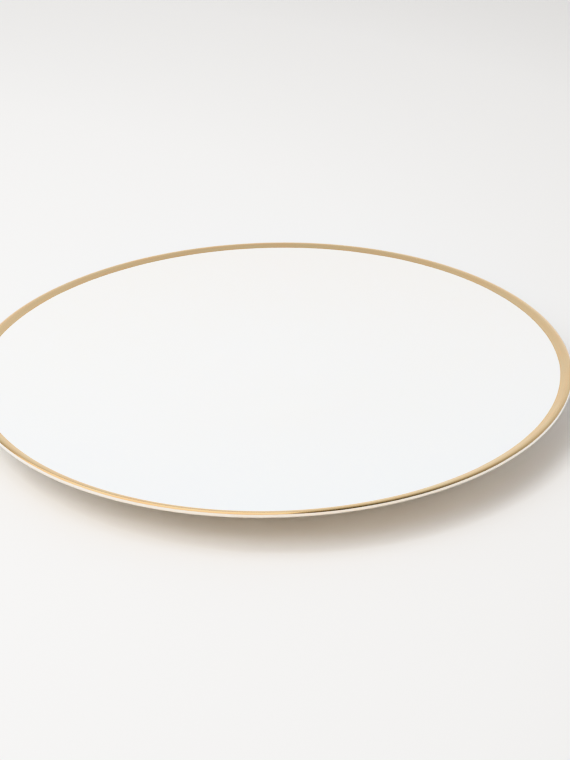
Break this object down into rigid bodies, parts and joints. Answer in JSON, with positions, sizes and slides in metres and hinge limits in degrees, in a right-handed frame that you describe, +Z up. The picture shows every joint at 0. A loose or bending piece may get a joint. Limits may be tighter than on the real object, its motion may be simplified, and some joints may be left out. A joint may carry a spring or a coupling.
{
  "type": "serving platter",
  "caption": "Round coupe serving platter in white glazed china, with a satin gold band along its rim and a bare foot ring, for holding and serving food.",
  "frame": {"origin": "on the table under the platter's centre, in the plane of the foot ring's contact face", "axes": "+Z up along the axis of the platter; it is round, so +X and +Y are any two level directions"},
  "size_m": [0.38, 0.38, 0.0222],
  "materials": {
    "biscuit": "matte",
    "foot_biscuit": "matte",
    "glaze": "gloss",
    "gold": "satin"
  },
  "bodies": {
    "root": {"platter_body": "biscuit", "foot_ring": "foot_biscuit", "face_glaze": "glaze", "back_glaze": "glaze", "recess_glaze": "glaze", "gold_band": "gold"}
  },
  "joints": []
}
